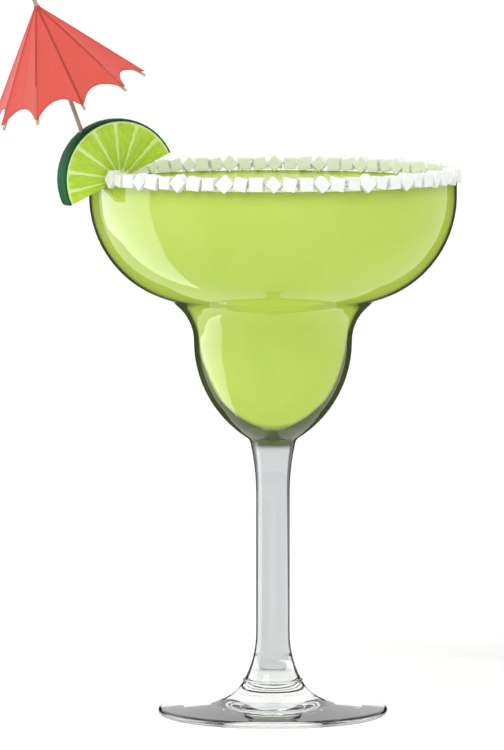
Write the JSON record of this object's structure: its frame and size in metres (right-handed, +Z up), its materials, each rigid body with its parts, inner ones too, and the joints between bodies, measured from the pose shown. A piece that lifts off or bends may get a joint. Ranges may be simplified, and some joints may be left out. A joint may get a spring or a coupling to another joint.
{
  "type": "margarita cocktail",
  "caption": "Stemmed margarita glass filled with a lime drink, with a coarse salt rim, a lime slice notched over the wall and a folded paper parasol stuck in the slice.",
  "frame": {"origin": "centre of the foot's underside, on the glass's axis", "axes": "+Z up along the glass's axis, +X to the right and -Y to the front"},
  "size_m": [0.1418, 0.1151, 0.2219],
  "materials": {
    "clear_glass": "blown and pressed soda-lime glass, fire-polished",
    "lime_drink": "cloudy yellow-green lime drink with a still, glossy surface",
    "coarse_salt": "coarse white salt crystals over a thin coat of fine salt",
    "lime": "cut lime: wet pulp, pale pith and core, dark green dimpled rind",
    "birch_stick": "turned birch, unpolished",
    "split_wood": "split wood, unpolished",
    "tissue_paper": "coral red tissue paper folded over the ribs",
    "rolled_card": "rolled brown card tube",
    "stop_ring": "small pale elastic ring"
  },
  "bodies": {
    "root": {"glass": "clear_glass", "drink": "lime_drink", "salt_rim": "coarse_salt", "lime_slice": "lime", "parasol_stick": "birch_stick", "parasol_canopy": "tissue_paper", "parasol_runner": "rolled_card", "parasol_cap": "tissue_paper", "parasol_hub": "split_wood", "parasol_ring": "stop_ring", "parasol_rib_1": "split_wood", "parasol_rib_2": "split_wood", "parasol_rib_3": "split_wood", "parasol_rib_4": "split_wood", "parasol_rib_5": "split_wood", "parasol_rib_6": "split_wood", "parasol_rib_7": "split_wood", "parasol_rib_8": "split_wood", "parasol_rib_9": "split_wood", "parasol_rib_10": "split_wood", "parasol_strut_1": "split_wood", "parasol_strut_2": "split_wood", "parasol_strut_3": "split_wood", "parasol_strut_4": "split_wood", "parasol_strut_5": "split_wood", "parasol_strut_6": "split_wood", "parasol_strut_7": "split_wood", "parasol_strut_8": "split_wood", "parasol_strut_9": "split_wood", "parasol_strut_10": "split_wood"}
  },
  "joints": []
}
